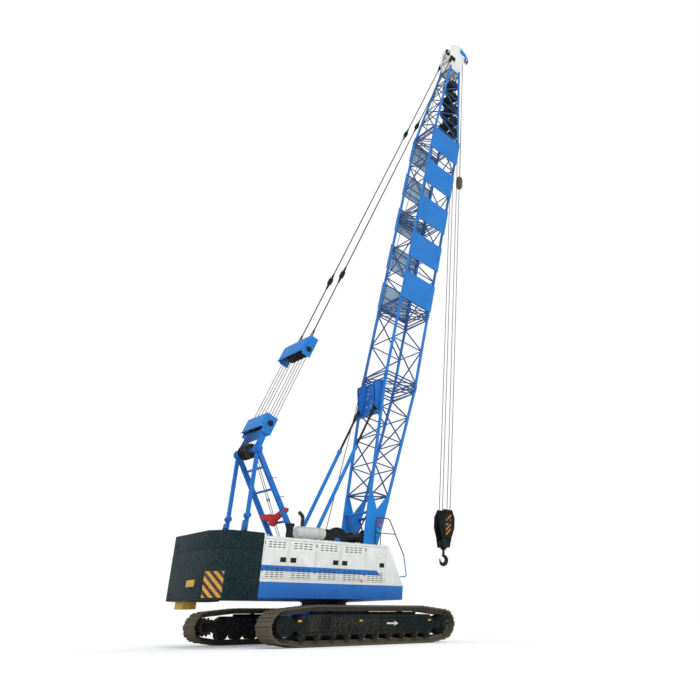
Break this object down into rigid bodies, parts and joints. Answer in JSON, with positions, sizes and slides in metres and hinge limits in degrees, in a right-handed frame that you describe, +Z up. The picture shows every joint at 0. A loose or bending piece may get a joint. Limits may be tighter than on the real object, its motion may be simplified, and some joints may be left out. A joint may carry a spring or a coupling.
{
  "type": "crawler crane with lattice boom",
  "caption": "Crawler crane with a lattice boom, A-frame gantry, boom hoist pendants, machinery house, counterweight, cab and hook block",
  "frame": {"origin": "centre of the box on the ground, under the crane", "axes": "+X towards the boom, +Y to the crane's left, +Z up"},
  "size_m": [9.9744, 5.49, 27.9888],
  "materials": {
    "ivory_paint": "satin",
    "blue_paint": "satin",
    "teal_paint": "satin",
    "dark_paint": "matt",
    "yellow_paint": "satin",
    "muddy_steel": "rough",
    "dark_iron": "satin",
    "bare_steel": "satin",
    "wire_rope": "matt",
    "cab_glass": "gloss",
    "seat_cover": "matt"
  },
  "bodies": {
    "undercarriage": {"right_track": "muddy_steel", "left_track": "muddy_steel", "right_crawler_frame": "dark_paint", "left_crawler_frame": "dark_paint", "right_sprocket": "muddy_steel", "left_sprocket": "muddy_steel", "carbody": "blue_paint", "slewing_ring": "dark_iron"},
    "upper_structure": {"revolving_frame": "blue_paint", "house_right": "ivory_paint", "house_left": "ivory_paint", "centre_hood": "ivory_paint", "engine": "dark_iron", "counterweight_lower": "teal_paint", "counterweight_upper": "teal_paint", "cab_shell": "ivory_paint", "cab_front_glass": "cab_glass", "operator_seat": "seat_cover", "gantry": "blue_paint", "muffler": "bare_steel", "intake_stack": "dark_iron"},
    "boom": {"boom_foot_section": "blue_paint", "boom_insert_1": "blue_paint", "boom_insert_2": "blue_paint", "boom_insert_3": "blue_paint", "boom_tip_section": "blue_paint", "right_boards": "blue_paint", "left_boards": "blue_paint"},
    "gantry_block": {"gantry_block": "dark_iron"},
    "bridle": {"bridle": "dark_iron", "right_pendant": "wire_rope", "left_pendant": "wire_rope"},
    "hoist_falls": {"right_hoist_falls": "wire_rope", "left_hoist_falls": "wire_rope", "hoist_limit_weight": "dark_iron"},
    "right_backstop_tube": {"right_backstop_tube": "blue_paint"},
    "right_backstop_rod": {"right_backstop_rod": "dark_paint"},
    "left_backstop_tube": {"left_backstop_tube": "blue_paint"},
    "left_backstop_rod": {"left_backstop_rod": "dark_paint"},
    "hook_block": {"hook_block": "dark_paint"},
    "hook": {"hook": "yellow_paint"},
    "hook_sheaves": {"hook_sheaves": "dark_iron"},
    "tip_sheaves": {"tip_sheaves": "dark_iron"},
    "boom_guide_drum": {"boom_guide_drum": "dark_iron"},
    "front_drum": {"front_drum": "dark_iron"},
    "rear_drum": {"rear_drum": "dark_iron"},
    "luffing_drum": {"luffing_drum": "dark_iron"},
    "gantry_sheaves": {"gantry_sheaves": "dark_iron"},
    "block_sheaves": {"block_sheaves": "dark_iron"},
    "bridle_sheaves": {"bridle_sheaves": "dark_iron"},
    "right_door_1": {"right_door_1": "ivory_paint"},
    "right_door_2": {"right_door_2": "ivory_paint"},
    "right_door_3": {"right_door_3": "ivory_paint"},
    "right_door_4": {"right_door_4": "ivory_paint"},
    "right_door_5": {"right_door_5": "ivory_paint"},
    "left_door_1": {"left_door_1": "ivory_paint"},
    "left_door_2": {"left_door_2": "ivory_paint"},
    "left_door_3": {"left_door_3": "ivory_paint"},
    "cab_door": {"cab_door": "ivory_paint"}
  },
  "joints": [
    {"name": "upper_slew", "type": "hinge", "parent": "undercarriage", "child": "upper_structure", "pos_m": [-0.44215, 0, 1.187], "axis": [0, 0, 1], "continuous": true},
    {"name": "boom_luff", "type": "hinge", "parent": "upper_structure", "child": "boom", "pos_m": [0.50585, 0, 1.788], "axis": [0, -1, 0], "range_deg": [-51.69, 0.31]},
    {"name": "gantry_block_swing", "type": "hinge", "parent": "upper_structure", "child": "gantry_block", "pos_m": [-3.65215, 0, 5.75], "axis": [0, -1, 0], "range_deg": [-51.39, 0.31]},
    {"name": "bridle_payout", "type": "slide", "parent": "gantry_block", "child": "bridle", "axis": [0.3325, 0, 0.9431], "range_m": [-0.03012, 5.00592]},
    {"name": "right_backstop_swing", "type": "hinge", "parent": "upper_structure", "child": "right_backstop_tube", "pos_m": [-1.77215, -0.5, 2.2], "axis": [0, -1, 0], "range_deg": [-42.95, 0.26]},
    {"name": "right_backstop_slide", "type": "slide", "parent": "right_backstop_tube", "child": "right_backstop_rod", "axis": [0.3786, 0, 0.9256], "range_m": [-0.01023, 1.6888]},
    {"name": "left_backstop_swing", "type": "hinge", "parent": "upper_structure", "child": "left_backstop_tube", "pos_m": [-1.77215, 0.5, 2.2], "axis": [0, -1, 0], "range_deg": [-42.95, 0.26]},
    {"name": "left_backstop_slide", "type": "slide", "parent": "left_backstop_tube", "child": "left_backstop_rod", "axis": [0.3786, 0, 0.9256], "range_m": [-0.01023, 1.6888]},
    {"name": "falls_swing", "type": "hinge", "parent": "boom", "child": "hoist_falls", "pos_m": [4.61715, 0, 27.51391], "axis": [0, -1, 0], "range_deg": [-0.31, 51.69]},
    {"name": "hook_hoist", "type": "slide", "parent": "hoist_falls", "child": "hook_block", "axis": [0, 0, -1], "range_m": [-15, 2.4], "deforming": ["right_hoist_falls", "left_hoist_falls"]},
    {"name": "hook_swivel", "type": "hinge", "parent": "hook_block", "child": "hook", "pos_m": [4.61715, 0, 3.33], "axis": [0, 0, 1], "continuous": true},
    {"name": "hook_sheave_spin", "type": "hinge", "parent": "hook_block", "child": "hook_sheaves", "pos_m": [4.61715, 0, 4.33], "axis": [0, 1, 0], "continuous": true},
    {"name": "tip_sheave_spin", "type": "hinge", "parent": "boom", "child": "tip_sheaves", "pos_m": [4.61715, 0, 27.51391], "axis": [0, 1, 0], "continuous": true},
    {"name": "boom_guide_spin", "type": "hinge", "parent": "boom", "child": "boom_guide_drum", "pos_m": [0.6198, 0, 3.39844], "axis": [0, 1, 0], "continuous": true},
    {"name": "front_drum_spin", "type": "hinge", "parent": "upper_structure", "child": "front_drum", "pos_m": [-0.38215, 0, 3.18], "axis": [0, 1, 0], "continuous": true},
    {"name": "rear_drum_spin", "type": "hinge", "parent": "upper_structure", "child": "rear_drum", "pos_m": [-1.19215, 0, 2.33], "axis": [0, 1, 0], "continuous": true},
    {"name": "luffing_drum_spin", "type": "hinge", "parent": "upper_structure", "child": "luffing_drum", "pos_m": [-2.06215, 0, 2.25], "axis": [0, 1, 0], "continuous": true},
    {"name": "gantry_sheaves_spin", "type": "hinge", "parent": "upper_structure", "child": "gantry_sheaves", "pos_m": [-3.65215, 0, 5.75], "axis": [0, 1, 0], "continuous": true},
    {"name": "block_sheave_spin", "type": "hinge", "parent": "gantry_block", "child": "block_sheaves", "pos_m": [-3.3429, 0, 6.62708], "axis": [0, 1, 0], "continuous": true},
    {"name": "bridle_sheave_spin", "type": "hinge", "parent": "bridle", "child": "bridle_sheaves", "pos_m": [-2.35529, 0, 9.42806], "axis": [0, 1, 0], "continuous": true},
    {"name": "right_door_1_hinge", "type": "hinge", "parent": "upper_structure", "child": "right_door_1", "pos_m": [-3.50415, -1.552, 1.846], "axis": [0, 0, -1], "range_deg": [0, 90]},
    {"name": "right_door_2_hinge", "type": "hinge", "parent": "upper_structure", "child": "right_door_2", "pos_m": [-1.85515, -1.552, 1.846], "axis": [0, 0, 1], "range_deg": [0, 90]},
    {"name": "right_door_3_hinge", "type": "hinge", "parent": "upper_structure", "child": "right_door_3", "pos_m": [-1.80915, -1.552, 1.846], "axis": [0, 0, -1], "range_deg": [0, 90]},
    {"name": "right_door_4_hinge", "type": "hinge", "parent": "upper_structure", "child": "right_door_4", "pos_m": [-0.06515, -1.552, 1.846], "axis": [0, 0, 1], "range_deg": [0, 90]},
    {"name": "right_door_5_hinge", "type": "hinge", "parent": "upper_structure", "child": "right_door_5", "pos_m": [-0.01915, -1.552, 1.846], "axis": [0, 0, -1], "range_deg": [0, 90]},
    {"name": "left_door_1_hinge", "type": "hinge", "parent": "upper_structure", "child": "left_door_1", "pos_m": [-3.50415, 1.552, 1.846], "axis": [0, 0, 1], "range_deg": [0, 90]},
    {"name": "left_door_2_hinge", "type": "hinge", "parent": "upper_structure", "child": "left_door_2", "pos_m": [-1.85515, 1.552, 1.846], "axis": [0, 0, -1], "range_deg": [0, 90]},
    {"name": "left_door_3_hinge", "type": "hinge", "parent": "upper_structure", "child": "left_door_3", "pos_m": [-1.80915, 1.552, 1.846], "axis": [0, 0, 1], "range_deg": [0, 90]},
    {"name": "cab_door_hinge", "type": "hinge", "parent": "upper_structure", "child": "cab_door", "pos_m": [0.26385, 1.74, 1.5563], "axis": [0, 0, 1], "range_deg": [0, 90]}
  ],
  "couplings": [
    {"joint": "gantry_block_swing", "follows": "boom_luff", "ratio": 0.99419},
    {"joint": "bridle_payout", "follows": "boom_luff", "m_per_rad": -5.5487},
    {"joint": "right_backstop_swing", "follows": "boom_luff", "ratio": 0.83075},
    {"joint": "right_backstop_slide", "follows": "boom_luff", "m_per_rad": -1.8718},
    {"joint": "left_backstop_swing", "follows": "boom_luff", "ratio": 0.83075},
    {"joint": "left_backstop_slide", "follows": "boom_luff", "m_per_rad": -1.8718},
    {"joint": "falls_swing", "follows": "boom_luff", "ratio": -1}
  ]
}
